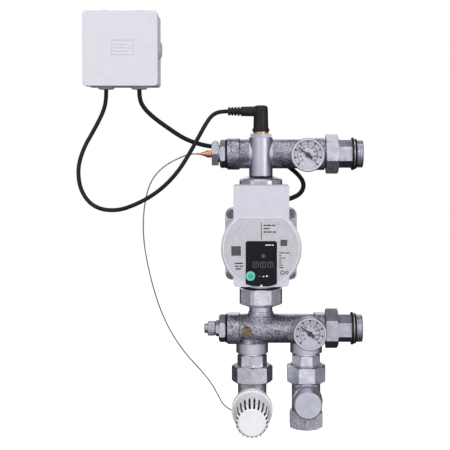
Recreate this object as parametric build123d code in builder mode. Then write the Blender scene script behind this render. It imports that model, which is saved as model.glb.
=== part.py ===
# Mixing set for an underfloor heating manifold: two brass bars, a circulation pump between them,
# a thermostatic valve with a remote sensor, a lockshield valve, two dial thermometers and a
# junction box. Millimetres. +X points to the manifold, -Y to the room, +Z up.
# The origin is on the flow bar's axis, at the first thread of its outlet nipple.
from build123d import *
from math import cos, pi, radians, sin, tan
import os

os.makedirs("parts", exist_ok=True)

# ---------------------------------------------------------------- driving dimensions
bar_spacing = 210.0         # flow bar axis to return bar axis
pump_length = 130.0         # port face to port face
pump_x = -114.8             # pump axis along the bars
bar_radius = 17.5
bar_bore_radius = 13.0
bar_left = -154.7           # left end face of both bars
bar_right = -29.4           # right end face of both bars, under the union nuts
thread_radius = 16.625      # G1
thread_pitch = 2.309
thread_depth = 1.2
gap = 0.3                   # clearance between pieces that move past each other
fit = 0.05                  # radial clearance of a running fit
gasket = 2.0                # thickness of every flat union gasket

flow_z = 0.0
return_z = -bar_spacing
pump_z = (flow_z + return_z) / 2
upper_port_z = pump_z + pump_length / 2
lower_port_z = pump_z - pump_length / 2

# ---------------------------------------------------------------- frames and small helpers


def along_x(x, y, z):
    """Frame of a piece turned about +X: local X is the radius, local Y the axis."""
    return Plane(origin=(x, y, z), x_dir=(0, 1, 0), z_dir=(0, 0, -1))


def along_minus_x(x, y, z):
    return Plane(origin=(x, y, z), x_dir=(0, 1, 0), z_dir=(0, 0, 1))


def along_front(x, y, z):
    """Frame of a piece turned about -Y, the direction of the room."""
    return Plane(origin=(x, y, z), x_dir=(1, 0, 0), z_dir=(0, 0, -1))


def along_up(x, y, z):
    return Plane(origin=(x, y, z), x_dir=(1, 0, 0), z_dir=(0, -1, 0))


def along_down(x, y, z):
    return Plane(origin=(x, y, z), x_dir=(1, 0, 0), z_dir=(0, 1, 0))


def across(frame, height=0.0):
    """Plane square to a turned piece's axis, at a height along it."""
    origin = frame.origin + frame.y_dir * height
    return Plane(origin=origin, x_dir=frame.x_dir, z_dir=frame.y_dir)


def turned(frame, outline, mode=Mode.ADD):
    """Revolve an outline of (radius, height) points about the frame's axis."""
    with BuildSketch(frame) as profile:
        with BuildLine():
            Polyline(*outline, close=True)
        make_face()
    revolve(profile.sketch, axis=Axis(frame.origin, frame.y_dir), mode=mode)


def cylinder_at(frame, radius, low, high, mode=Mode.ADD):
    turned(frame, [(0, low), (radius, low), (radius, high), (0, high)], mode)


def ring_at(frame, inner, outer, low, high, mode=Mode.ADD):
    turned(frame, [(inner, low), (outer, low), (outer, high), (inner, high)], mode)


def prism_at(frame, flats, sides, low, high, turn=0.0, mode=Mode.ADD):
    with BuildSketch(across(frame, low)) as section:
        RegularPolygon(flats / 2, sides, major_radius=False, rotation=turn)
    extrude(section.sketch, amount=high - low, mode=mode)


def bevelled_prism(frame, flats, sides, low, high, turn=0.0, low_bevel=1.5, high_bevel=1.5):
    """A prism whose corners are turned off at both ends, as on a nut."""
    corner = flats / 2 / cos(pi / sides)
    slope = 1.7
    prism_at(frame, flats, sides, low, high, turn)
    for end, bevel in ((low, low_bevel), (high, -high_bevel)):
        turned(frame, [(corner - slope * abs(bevel), end), (corner + slope, end),
                       (corner + slope, end + bevel + bevel / abs(bevel))], Mode.SUBTRACT)


def thread_grooves(frame, radius, low, high, pitch=thread_pitch, depth=thread_depth):
    """Ring grooves between the crests of an outside thread."""
    count = round((high - low) / pitch)
    step = (high - low) / count
    with BuildSketch(frame) as profile:
        for index in range(count):
            middle = low + step * (index + 0.5)
            with BuildLine():
                Polyline((radius - depth, middle - 0.15 * step), (radius + 0.2, middle - 0.34 * step),
                         (radius + 0.2, middle + 0.34 * step), (radius - depth, middle + 0.15 * step),
                         close=True)
            make_face()
    revolve(profile.sketch, axis=Axis(frame.origin, frame.y_dir), mode=Mode.SUBTRACT)


def finish_piece(piece, name):
    piece.part.label = name
    export_step(piece.part, "parts/" + name + ".step")


# ---------------------------------------------------------------- the two bars
collar_radius = bar_radius + 1.5
left_collar_length = 14.0
right_collar_left = -50.0
right_collar_right = -39.0
right_collar_radius = bar_radius + 1.9
end_counterbore_radius = bar_bore_radius + 2.0
end_counterbore_depth = 12.0
tail_radius = 14.0              # outside of the tubes that lead to the pump
tail_bore_radius = 10.0
tail_flange_radius = 21.5
tail_flange_height = 3.7
saddle_front = -8.0             # the flow tube's rib stands proud of the bar to here
flow_tube_top = bar_radius + 1.9
flow_tube_bottom = upper_port_z + 13.8      # clear of the pump's union nut
probe_y = -4.0                  # axis of the limiter sensor
probe_hole_radius = 4.3
thermometer_boss_radius = 9.5
thermometer_boss_front = -bar_radius - 4.5
thermometer_stem_radius = 4.4
flow_thermometer = (-60.4, -1.0)        # x and z of the dial's axis
return_thermometer = (-57.6, return_z)
left_outlet_x = -125.2
right_outlet_x = -60.2
outlet_radius = 19.25
outlet_drop = bar_radius + 11.0   # bar axis to the outlet's lower face
outlet_bore_radius = 11.0
outlet_dome_drop = 16.0         # bar axis to the centre of the outlet's round shoulder
outlet_socket_radius = 15.2
outlet_socket_depth = 9.0


def bar_outside(frame):
    turned(frame, [(0, bar_left), (collar_radius, bar_left),
                   (collar_radius, bar_left + left_collar_length),
                   (bar_radius, bar_left + left_collar_length + 1.0),
                   (bar_radius, right_collar_left - 1.5), (right_collar_radius, right_collar_left),
                   (right_collar_radius, right_collar_right), (bar_radius, right_collar_right),
                   (bar_radius, bar_right), (0, bar_right)])


def bar_inside(frame):
    cylinder_at(frame, bar_bore_radius, bar_left, bar_right, Mode.SUBTRACT)
    cylinder_at(frame, end_counterbore_radius, bar_left, bar_left + end_counterbore_depth,
                Mode.SUBTRACT)
    thread_grooves(frame, bar_radius, right_collar_right, bar_right, pitch=1.5, depth=0.7)


flow_frame = along_x(0, 0, flow_z)
return_frame = along_x(0, 0, return_z)
flow_tail_end = upper_port_z + gasket
return_tail_end = lower_port_z - gasket
flow_tail = along_down(pump_x, 0, 0)
return_tail = along_up(pump_x, 0, 0)

with BuildPart() as flow_bar:
    bar_outside(flow_frame)
    with BuildSketch(Plane.XY.offset(flow_tube_bottom)):
        with Locations((pump_x, saddle_front / 2)):
            SlotCenterToCenter(-saddle_front, 2 * tail_radius, rotation=90)
    extrude(amount=flow_tube_top - flow_tube_bottom)
    cylinder_at(flow_tail, tail_radius, 0, -flow_tail_end)
    cylinder_at(flow_tail, tail_flange_radius, -flow_tail_end - tail_flange_height, -flow_tail_end)
    cylinder_at(along_front(flow_thermometer[0], 0, flow_thermometer[1]), thermometer_boss_radius,
                0, -thermometer_boss_front)
    bar_inside(flow_frame)
    cylinder_at(flow_tail, tail_bore_radius, 0, -flow_tail_end, Mode.SUBTRACT)
    cylinder_at(along_up(pump_x, probe_y, 0), probe_hole_radius, 0, flow_tube_top, Mode.SUBTRACT)
    cylinder_at(along_front(flow_thermometer[0], 0, flow_thermometer[1]),
                thermometer_stem_radius + fit, 0, -thermometer_boss_front, Mode.SUBTRACT)
finish_piece(flow_bar, "flow_bar")

neck_ring_z = return_z + bar_radius + 3.0
with BuildPart() as return_bar:
    bar_outside(return_frame)
    cylinder_at(return_tail, tail_radius, return_z, return_tail_end)
    cylinder_at(return_tail, tail_flange_radius, return_tail_end - tail_flange_height, return_tail_end)
    turned(return_tail, [(0, return_z), (tail_radius + 2, return_z), (tail_radius + 2, neck_ring_z - 2.5),
                         (tail_radius + 0.9, neck_ring_z - 1.5), (tail_radius + 0.9, neck_ring_z),
                         (tail_radius, neck_ring_z + 0.8), (0, neck_ring_z + 0.8)])
    for outlet_x in (left_outlet_x, right_outlet_x):
        outlet = along_down(outlet_x, 0, return_z)
        cylinder_at(outlet, outlet_radius, outlet_dome_drop, outlet_drop)
        with Locations((outlet_x, 0, return_z - outlet_dome_drop)):
            Sphere(outlet_radius, arc_size1=0)
    cylinder_at(along_front(return_thermometer[0], 0, return_thermometer[1]), thermometer_boss_radius,
                0, -thermometer_boss_front)
    bar_inside(return_frame)
    cylinder_at(return_tail, tail_bore_radius, return_z, return_tail_end, Mode.SUBTRACT)
    for outlet_x in (left_outlet_x, right_outlet_x):
        outlet = along_down(outlet_x, 0, return_z)
        cylinder_at(outlet, outlet_bore_radius, 0, outlet_drop, Mode.SUBTRACT)
        cylinder_at(outlet, outlet_socket_radius, outlet_drop - outlet_socket_depth, outlet_drop,
                    Mode.SUBTRACT)
    cylinder_at(along_front(return_thermometer[0], 0, return_thermometer[1]),
                thermometer_stem_radius + fit, 0, -thermometer_boss_front, Mode.SUBTRACT)
finish_piece(return_bar, "return_bar")

# ---------------------------------------------------------------- unions to the manifold
union_nut_wall = 3.0
union_nut_left = -37.2
union_nut_right = -22.2
union_nut_bore = bar_radius + gap
union_nut_flats = 2 * (union_nut_bore + union_nut_wall)
nipple_bore_radius = 10.5
nipple_neck_radius = 14.0
nipple_flange_radius = bar_radius - 0.3
nipple_flange_left = bar_right + gasket
nipple_flange_right = nipple_flange_left + 3.0
nipple_hex_flats = 28.9
nipple_hex_left = union_nut_right + gap
nipple_hex_right = -6.5
shoulder_radius = 18.8
shoulder_left = -4.0
shoulder_right = -2.95
seal_hub_radius = 17.3
front_hub_radius = 15.8
outlet_thread_start = -0.1
outlet_thread_end = 7.0
oring_section = 1.25
oring_hub_middle = (nipple_hex_right + shoulder_left) / 2
union_turns = {"flow": 20.0, "return": 30.0}

for side, frame in (("flow", flow_frame), ("return", return_frame)):
    with BuildPart() as nipple:
        ring_at(frame, 0, nipple_flange_radius, nipple_flange_left, nipple_flange_right)
        ring_at(frame, 0, nipple_neck_radius, nipple_flange_right, nipple_hex_left)
        ring_at(frame, 0, seal_hub_radius, nipple_hex_right, shoulder_left)
        ring_at(frame, 0, shoulder_radius, shoulder_left, shoulder_right)
        ring_at(frame, 0, front_hub_radius, shoulder_right, outlet_thread_start)
        turned(frame, [(0, outlet_thread_start), (thread_radius, outlet_thread_start),
                       (thread_radius, outlet_thread_end - 0.9), (thread_radius - 1.1, outlet_thread_end),
                       (0, outlet_thread_end)])
        prism_at(frame, nipple_hex_flats, 6, nipple_hex_left, nipple_hex_right, 30)
        thread_grooves(frame, thread_radius, outlet_thread_start, outlet_thread_end - 0.9)
        cylinder_at(frame, nipple_bore_radius, nipple_flange_left, outlet_thread_end, Mode.SUBTRACT)
    finish_piece(nipple, side + "_nipple")

    with BuildPart() as union_nut:
        bevelled_prism(frame, union_nut_flats, 6, union_nut_left, union_nut_right, union_turns[side],
                       low_bevel=0.5, high_bevel=1.4)
        cylinder_at(frame, union_nut_bore, union_nut_left, nipple_flange_right + gap, Mode.SUBTRACT)
        cylinder_at(frame, nipple_neck_radius + gap, union_nut_left, union_nut_right, Mode.SUBTRACT)
    finish_piece(union_nut, side + "_union_nut")

# ---------------------------------------------------------------- left ends: sensor plug and drain
seal_width = 2.5
plug_seal_radius = 17.4
plug_hex_flats = 29.4
plug_hex_length = 6.6
plug_groove_length = 1.8
plug_spigot_radius = end_counterbore_radius - 0.2
plug_spigot_length = 10.5
gland_flats = 27.6
gland_length = 7.7
bulb_radius = 6.0
bulb_length = 48.0
bulb_clearance = 0.15
plug_face = bar_left - seal_width
gland_right = plug_face - plug_hex_length - plug_groove_length
gland_left = gland_right - gland_length
capillary_radius = 0.75
cone_tip_x = gland_left - 18.3

with BuildPart() as sealing_rings:
    for frame in (flow_frame, return_frame):
        ring_at(frame, end_counterbore_radius, plug_seal_radius, plug_face, bar_left)
        for hub_radius, middle in ((seal_hub_radius, oring_hub_middle),
                                   (front_hub_radius, shoulder_right + oring_section)):
            with BuildSketch(frame):
                with Locations((hub_radius + oring_section, middle)):
                    Circle(oring_section)
            revolve(axis=Axis(frame.origin, frame.y_dir))
finish_piece(sealing_rings, "sealing_rings")

with BuildPart() as sensor_end_plug:
    bevelled_prism(flow_frame, plug_hex_flats, 6, plug_face - plug_hex_length, plug_face, 30,
                   low_bevel=1.4, high_bevel=0.8)
    cylinder_at(flow_frame, plug_spigot_radius, plug_face, plug_face + seal_width + plug_spigot_length)
    cylinder_at(flow_frame, bulb_radius + 4.0, gland_right, plug_face - plug_hex_length)
    cylinder_at(flow_frame, bulb_radius + bulb_clearance, gland_right, bar_left + 20, Mode.SUBTRACT)
finish_piece(sensor_end_plug, "sensor_end_plug")

with BuildPart() as gland_nut:
    bevelled_prism(flow_frame, gland_flats, 6, gland_left, gland_right, 0, low_bevel=1.0,
                   high_bevel=0.6)
    with BuildSketch(Plane.XY.offset(gland_flats / 2 - 1)):
        with Locations(((gland_left + gland_right) / 2 + 0.6, -1.0)):
            Circle(2.3)
    extrude(amount=2.8)
    cylinder_at(flow_frame, bulb_radius + bulb_clearance, gland_left, gland_right, Mode.SUBTRACT)
finish_piece(gland_nut, "gland_nut")

with BuildPart() as immersion_bulb:
    turned(flow_frame, [(0, cone_tip_x), (capillary_radius + 0.25, cone_tip_x), (1.4, cone_tip_x + 4.5),
                        (3.9, gland_left - 6.2), (4.5, gland_left - 6.0), (4.5, gland_left - 0.2),
                        (bulb_radius, gland_left - 0.2), (bulb_radius, gland_left + bulb_length - 4),
                        (bulb_radius - 3, gland_left + bulb_length), (0, gland_left + bulb_length)])
finish_piece(immersion_bulb, "immersion_bulb")

drain_spigot_length = 10.5
drain_hex_flats = 29.2
drain_hex_length = 8.0
drain_hub_flats = 17.0
drain_hub_length = 4.0
drain_hub_left = plug_face - drain_hex_length - drain_hub_length
drain_thread_radius = 4.8
drain_knob_radius = 8.9
drain_knob_length = 9.2
drain_cap_radius = 5.75
drain_cap_length = 4.0
drain_knob_right = drain_hub_left - gap
with BuildPart() as drain_body:
    bevelled_prism(return_frame, drain_hex_flats, 6, plug_face - drain_hex_length, plug_face, 30,
                   low_bevel=1.4, high_bevel=0.8)
    cylinder_at(return_frame, plug_spigot_radius, plug_face,
                plug_face + seal_width + drain_spigot_length)
    bevelled_prism(return_frame, drain_hub_flats, 6, drain_hub_left, plug_face - drain_hex_length,
                   30, low_bevel=0.8, high_bevel=0.1)
    cylinder_at(return_frame, drain_thread_radius, drain_knob_right - drain_knob_length + 1,
                drain_hub_left)
    cylinder_at(return_frame, 2.5, drain_knob_right - drain_knob_length + 1, bar_left + 20,
                Mode.SUBTRACT)
finish_piece(drain_body, "drain_body")

knob_rib_count = 24
with BuildPart() as drain_knob:
    knob_left = drain_knob_right - drain_knob_length
    turned(return_frame, [(0, knob_left - drain_cap_length), (drain_cap_radius - 0.8, knob_left - drain_cap_length),
                          (drain_cap_radius, knob_left - drain_cap_length + 0.8),
                          (drain_cap_radius, knob_left), (drain_knob_radius - 0.8, knob_left),
                          (drain_knob_radius, knob_left + 0.8), (drain_knob_radius, drain_knob_right - 0.8),
                          (drain_knob_radius - 0.8, drain_knob_right), (0, drain_knob_right)])
    cylinder_at(return_frame, drain_thread_radius + fit, knob_left + 0.7, drain_knob_right, Mode.SUBTRACT)
    with BuildSketch(across(return_frame, knob_left - 1)):
        with PolarLocations(drain_knob_radius + 0.25, knob_rib_count):
            Circle(0.6)
    extrude(amount=drain_knob_length + 2, mode=Mode.SUBTRACT)
finish_piece(drain_knob, "drain_knob")

# ---------------------------------------------------------------- limiter sensor and elbow plug
sensor_hex_flats = 25.0
sensor_hex_height = 4.6
sensor_ring_radius = 8.9
sensor_ring_height = 2.4
probe_radius = 4.0
probe_length = 28.0
plug_base_z = flow_tube_top + sensor_hex_height + sensor_ring_height
plug_collar_radius = 10.1
plug_collar_height = 4.6
plug_body_radius = 8.7
plug_height = 31.5
plug_arm_z = 24.3               # arm axis above the plug's base
plug_arm_length = 39.2
plug_arm_radius = 6.2
plug_arm_end_radius = 4.9
cable_radius = 2.5
probe_frame = along_up(pump_x, probe_y, 0)
plug_arm_frame = along_minus_x(pump_x, probe_y, plug_base_z + plug_arm_z)

with BuildPart() as limiter_sensor:
    bevelled_prism(probe_frame, sensor_hex_flats, 6, flow_tube_top, flow_tube_top + sensor_hex_height, 30,
                   low_bevel=0.4, high_bevel=0.7)
    cylinder_at(probe_frame, sensor_ring_radius, flow_tube_top + sensor_hex_height, plug_base_z)
    cylinder_at(probe_frame, probe_radius, flow_tube_top - probe_length, flow_tube_top)
finish_piece(limiter_sensor, "limiter_sensor")

with BuildPart() as elbow_plug:
    plug_frame = along_up(pump_x, probe_y, plug_base_z)
    turned(plug_frame, [(0, 0), (plug_collar_radius, 0), (plug_collar_radius, plug_collar_height - 1),
                        (plug_body_radius + 0.3, plug_collar_height),
                        (plug_body_radius - 0.3, plug_height - 3.5),
                        (plug_body_radius - 1.4, plug_height - 1.0), (plug_body_radius - 3.8, plug_height),
                        (0, plug_height)])
    turned(plug_arm_frame, [(0, 0), (plug_arm_radius, 0), (plug_arm_radius - 0.5, plug_arm_length - 16),
                            (plug_arm_end_radius, plug_arm_length), (0, plug_arm_length)])
    for index in range(4):
        groove = plug_arm_length - 2.6 - 3.7 * index
        ring_at(plug_arm_frame, cable_radius + 1.4, plug_arm_radius + 1, groove - 1.5, groove,
                Mode.SUBTRACT)
finish_piece(elbow_plug, "elbow_plug")

# ---------------------------------------------------------------- pump hydraulics
port_thread_radius = 23.9       # G1 1/2
pump_nut_wall = 1.6
pump_nut_sides = 8
pump_nut_height = 19.5
pump_nut_lip = 4.0
crown_height = 3.6
port_neck_radius = 18.2
port_thread_length = 12.0
pump_nut_flats = 2 * (port_thread_radius + pump_nut_wall)
pump_nut_edge_flats = pump_nut_flats + 2.2      # across the chamfers on its eight edges
volute_radius = 40.5
volute_back = -26.0
chamber_radius = 33.0
chamber_back = -17.0
flange_back = 19.0
flange_face = 28.0
flange_half = 41.8
screw_pitch = flange_half - 6.6    # half the spacing of the four flange screws
flange_corner_radius = 7.6
screw_hole_radius = 2.6
pump_frame = along_front(pump_x, 0, pump_z)
upper_port = along_up(pump_x, 0, pump_z)
lower_port = along_down(pump_x, 0, pump_z)

with BuildPart() as pump_housing:
    turned(pump_frame, [(0, volute_back), (volute_radius - 12, volute_back), (volute_radius - 3, volute_back + 6),
                        (volute_radius, volute_back + 15), (volute_radius, flange_back), (0, flange_back)])
    with BuildSketch(across(pump_frame, flange_back)):
        RectangleRounded(2 * flange_half, 2 * flange_half, flange_corner_radius)
    extrude(amount=flange_face - flange_back)
    for port in (upper_port, lower_port):
        cylinder_at(port, port_neck_radius, 0, pump_length / 2)
        cylinder_at(port, port_thread_radius, pump_length / 2 - port_thread_length, pump_length / 2)
        thread_grooves(port, port_thread_radius, pump_length / 2 - port_thread_length + 1, pump_length / 2 - 1)
    turned(pump_frame, [(0, chamber_back), (chamber_radius - 6, chamber_back), (chamber_radius, chamber_back + 6),
                        (chamber_radius, flange_face), (0, flange_face)], Mode.SUBTRACT)
    for port in (upper_port, lower_port):
        cylinder_at(port, tail_bore_radius, 0, pump_length / 2, Mode.SUBTRACT)
    with BuildSketch(across(pump_frame, flange_back - 6)):
        with GridLocations(2 * screw_pitch, 2 * screw_pitch, 2, 2):
            Circle(screw_hole_radius)
    extrude(amount=flange_face - flange_back + 6, mode=Mode.SUBTRACT)
finish_piece(pump_housing, "pump_housing")

upper_nut_frame = along_down(pump_x, 0, flow_tail_end + tail_flange_height + gap + pump_nut_lip)
lower_nut_frame = along_up(pump_x, 0, return_tail_end - tail_flange_height - gap - pump_nut_lip)
nut_corner = pump_nut_edge_flats / 2 + 0.2
for name, frame in (("pump_upper_nut", upper_nut_frame), ("pump_lower_nut", lower_nut_frame)):
    with BuildPart() as pump_nut:
        with BuildSketch(across(frame, -crown_height)):
            RegularPolygon(pump_nut_flats / 2, pump_nut_sides, major_radius=False, rotation=22.5)
            RegularPolygon(pump_nut_edge_flats / 2, pump_nut_sides, major_radius=False, mode=Mode.INTERSECT)
        extrude(amount=pump_nut_height + crown_height)
        turned(frame, [(0, -crown_height), (tail_radius + 1.2, -crown_height),
                       (nut_corner - 7, -crown_height + 1.8), (nut_corner - 2.4, -0.2), (nut_corner + 0.1, 1.8),
                       (nut_corner + 0.1, pump_nut_height - 1.0), (nut_corner - 2.0, pump_nut_height),
                       (0, pump_nut_height)], Mode.INTERSECT)
        cylinder_at(frame, port_thread_radius + gap, pump_nut_lip, pump_nut_height, Mode.SUBTRACT)
        cylinder_at(frame, tail_radius + gap, -crown_height, pump_nut_height, Mode.SUBTRACT)
    finish_piece(pump_nut, name)

with BuildPart() as union_gaskets:
    for frame in (flow_frame, return_frame):
        ring_at(frame, bar_bore_radius, nipple_flange_radius - 0.4, bar_right, nipple_flange_left)
    for port in (upper_port, lower_port):
        ring_at(port, tail_bore_radius, tail_flange_radius - 0.4, pump_length / 2, pump_length / 2 + gasket)
finish_piece(union_gaskets, "union_gaskets")

# ---------------------------------------------------------------- pump motor
motor_plate = 10.0
motor_radius = 44.0
motor_back = flange_face
motor_front = 56.0
motor_wall = 3.0
can_radius = 24.0
can_wall = 0.8
can_front = 52.0
shaft_radius = 3.0
screw_head_radius = 4.4
screw_head_height = 5.0
screw_seat_depth = 2.0

with BuildPart() as motor_housing:
    with BuildSketch(across(pump_frame, motor_back)):
        RectangleRounded(2 * flange_half, 2 * flange_half, flange_corner_radius)
    extrude(amount=motor_plate)
    cylinder_at(pump_frame, motor_radius, motor_back, motor_front)
    cylinder_at(pump_frame, motor_radius - motor_wall, motor_back + motor_plate - 2, motor_front,
                Mode.SUBTRACT)
    cylinder_at(pump_frame, can_radius + can_wall + gap, motor_back, motor_front, Mode.SUBTRACT)
    cylinder_at(pump_frame, chamber_radius - 1, motor_back, motor_back + 2.5, Mode.SUBTRACT)
    with BuildSketch(across(pump_frame, motor_back)):
        with GridLocations(2 * screw_pitch, 2 * screw_pitch, 2, 2):
            Circle(screw_hole_radius + 0.3)
    extrude(amount=motor_plate, mode=Mode.SUBTRACT)
    with BuildSketch(across(pump_frame, motor_back + motor_plate - screw_seat_depth)):
        with GridLocations(2 * screw_pitch, 2 * screw_pitch, 2, 2):
            Circle(screw_head_radius + 0.6)
    extrude(amount=screw_seat_depth + 8, mode=Mode.SUBTRACT)
finish_piece(motor_housing, "motor_housing")

screw_seat = motor_back + motor_plate - screw_seat_depth
with BuildPart() as motor_screws:
    for x_side in (-1, 1):
        for z_side in (-1, 1):
            screw = along_front(pump_x + x_side * screw_pitch, 0, pump_z + z_side * screw_pitch)
            turned(screw, [(0, flange_back - 2), (screw_hole_radius - 0.1, flange_back - 2),
                           (screw_hole_radius - 0.1, screw_seat), (screw_head_radius, screw_seat),
                           (screw_head_radius, screw_seat + screw_head_height - 0.5),
                           (screw_head_radius - 0.5, screw_seat + screw_head_height),
                           (0, screw_seat + screw_head_height)])
            prism_at(screw, 4.0, 6, screw_seat + 2.2, screw_seat + screw_head_height, 0, Mode.SUBTRACT)
finish_piece(motor_screws, "motor_screws")

can_flange_back = motor_back - 2.0
with BuildPart() as rotor_can:
    ring_at(pump_frame, can_radius, chamber_radius - 1 - 0.1, can_flange_back + 2.0, can_flange_back + 4.0)
    ring_at(pump_frame, can_radius, can_radius + can_wall, can_flange_back + 4.0, can_front)
    cylinder_at(pump_frame, can_radius + can_wall, can_front, can_front + 1.0)
finish_piece(rotor_can, "rotor_can")

stator_back = motor_back + motor_plate - 2
with BuildPart() as stator:
    ring_at(pump_frame, can_radius + can_wall + 0.2, motor_radius - motor_wall - 0.2, stator_back,
            stator_back + 14)
finish_piece(stator, "stator")

bearing_radius = 8.0
bearing_length = 4.0
front_bearing = 47.0
rear_bearing = 24.0
rotor_radius = can_radius - 1.0
with BuildPart() as rotor:
    cylinder_at(pump_frame, shaft_radius, 0.0, can_front - 0.4)
    cylinder_at(pump_frame, rotor_radius, rear_bearing + bearing_length + 1.5, front_bearing - 1.5)
finish_piece(rotor, "rotor")

with BuildPart() as pump_bearings:
    ring_at(pump_frame, shaft_radius + fit, can_radius, front_bearing, front_bearing + bearing_length)
    ring_at(pump_frame, shaft_radius + fit, chamber_radius, rear_bearing, rear_bearing + bearing_length)
finish_piece(pump_bearings, "pump_bearings")

impeller_radius = 29.0
impeller_back = -11.0
impeller_front = 12.0
blade_count = 6
with BuildPart() as impeller:
    ring_at(pump_frame, shaft_radius, impeller_radius, impeller_front - 2, impeller_front)
    ring_at(pump_frame, 10.0, impeller_radius, impeller_back + 6, impeller_back + 8)
    ring_at(pump_frame, 10.0, 12.0, impeller_back, impeller_back + 7)
    ring_at(pump_frame, shaft_radius, 7.0, 0.5, impeller_front)
    with BuildSketch(across(pump_frame, impeller_back + 7)):
        with PolarLocations(19.5, blade_count):
            Rectangle(17.0, 2.0, rotation=25)
    extrude(amount=impeller_front - impeller_back - 8)
finish_piece(impeller, "impeller")

# ---------------------------------------------------------------- pump control module
module_width = 62.0
module_top = 70.2               # above the pump axis
module_bottom = 42.6            # below the pump axis
module_radius = 45.0
module_back = motor_front
module_front = 95.0
module_wall = 2.5
module_top_corner = 0.9
module_bottom_corner = 4.0
plate_radius = 42.6
plate_flat = 35.0
plate_thickness = 0.6
panel_width = 34.6
panel_height = 50.4
panel_top = 8.6                 # above the pump axis
panel_thickness = 0.6
button_x = -12.0                # from the pump axis
button_z = -30.3
button_radius = 4.7
button_clearance = 0.1
button_front = 97.2
button_back = 88.0
button_travel = 0.8
gland_mouth = (-86.5, -43.5, -53.0)     # where the power cable enters its gland
gland_run = (-10.5, -9.5, -2.0)         # direction of the cable into the gland
gland_radius = 4.6


module_plane = across(pump_frame, module_back)
with BuildPart() as control_module:
    with BuildSketch(module_plane) as outline:
        with Locations((0, (module_top - module_bottom) / 2)):
            Rectangle(module_width, module_top + module_bottom)
        fillet(outline.vertices().group_by(Axis.Y)[0], module_bottom_corner)
        fillet(outline.vertices().group_by(Axis.Y)[-1], module_top_corner)
    extrude(amount=module_front - module_back)
    turned(pump_frame, [(0, module_back), (module_radius, module_back), (module_radius, module_front - 2.4),
                        (module_radius - 1.6, module_front), (0, module_front)])
    with BuildSketch(module_plane):
        with Locations((0, (module_top - module_bottom) / 2)):
            RectangleRounded(module_width - 2 * module_wall, module_top + module_bottom - 2 * module_wall, 2.0)
        Circle(module_radius - module_wall)
    extrude(amount=module_front - module_back - module_wall, mode=Mode.SUBTRACT)
    cylinder_at(along_front(pump_x + button_x, 0, pump_z + button_z), button_radius + button_clearance,
                module_back, module_front, Mode.SUBTRACT)
    with BuildSketch(across(pump_frame, module_back)):
        with Locations((0, module_top - 17.0)):
            Rectangle(module_width - 2, 25.0)
    extrude(amount=2.0)
finish_piece(control_module, "control_module")

with BuildPart() as face_plate:
    with BuildSketch(across(pump_frame, module_front)):
        Circle(plate_radius)
        with Locations((0, plate_flat + 10)):
            Rectangle(2 * plate_radius, 20, mode=Mode.SUBTRACT)
        with Locations((button_x, button_z)):
            Circle(button_radius + button_clearance, mode=Mode.SUBTRACT)
    extrude(amount=plate_thickness)
finish_piece(face_plate, "face_plate")

with BuildPart() as control_panel:
    with BuildSketch(across(pump_frame, module_front + plate_thickness)):
        with Locations((0, panel_top - panel_height / 2)):
            RectangleRounded(panel_width, panel_height, 2.5)
        with Locations((button_x, button_z)):
            Circle(button_radius + button_clearance, mode=Mode.SUBTRACT)
        Circle(plate_radius, mode=Mode.INTERSECT)
    extrude(amount=panel_thickness)
finish_piece(control_panel, "control_panel")

button_frame = along_front(pump_x + button_x, 0, pump_z + button_z)
with BuildPart() as green_button:
    turned(button_frame, [(0, button_back), (button_radius, button_back), (button_radius, button_front - 0.4),
                          (button_radius - 0.4, button_front), (0, button_front)])
finish_piece(green_button, "green_button")

board_height = 84.0
with BuildPart() as circuit_board:
    with BuildSketch(across(pump_frame, button_back - button_travel - 4.0)):
        with Locations((0, 8.0)):
            Rectangle(module_width - 2 * module_wall - 3, board_height)
    extrude(amount=1.6)
    for place_x, place_z, wide, high, deep in ((-14, 34, 16, 20, 8), (12, 38, 20, 12, 6), (-12, 4, 14, 14, 4),
                                               (14, 6, 10, 18, 5), (10, -20, 16, 10, 3)):
        with BuildSketch(across(pump_frame, button_back - button_travel - 4.0)):
            with Locations((place_x, place_z)):
                Rectangle(wide, high)
        extrude(amount=-deep)
finish_piece(circuit_board, "circuit_board")

gland_direction = Vector(*gland_run).normalized()
gland_length_total = (module_back + gland_mouth[1]) / -gland_direction.Y
with BuildPart() as pump_cable_gland:
    gland_frame = Plane(origin=gland_mouth, x_dir=gland_direction.cross(Vector(0, 0, 1)).normalized(),
                        z_dir=gland_direction)
    with BuildSketch(gland_frame):
        Circle(gland_radius - 1.0)
    with BuildSketch(gland_frame.offset(8.0)):
        Circle(gland_radius)
    loft()
    with BuildSketch(gland_frame.offset(8.0)):
        Circle(gland_radius)
    extrude(amount=gland_length_total)
    split(bisect_by=Plane(origin=(0, -module_back, 0), z_dir=(0, 1, 0)), keep=Keep.TOP)
finish_piece(pump_cable_gland, "pump_cable_gland")

# ---------------------------------------------------------------- the two valves under the return bar
tail_flats = 33.0
tail_top = return_z - outlet_drop - 2.6
tail_bottom = return_z - 46.5
valve_nut_flats = 45.6
valve_nut_top = return_z - 43.6
valve_nut_height = 21.4
valve_body_radius = 17.3
valve_bore_radius = 11.0
valve_top = return_z - 52.0
valve_bottom = return_z - 119.5
valve_hex_flats = 39.0
valve_hex_height = 20.0
inlet_thread_radius = 15.15         # wall of the female thread, G1
inlet_thread_length = 16.0
tailpiece_flange_radius = 15.6
thermostat_z = return_z - 88.0      # axis of the thermostatic head
lockshield_z = return_z - 81.0      # axis of the lockshield spindle
web = 3.0
seat_radius = 6.5
seat_half = 9.0
insert_radius = 11.0
insert_hole_radius = insert_radius + 0.15
boss_radius = 14.5
boss_front = 23.0
insert_front = 30.0

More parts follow.
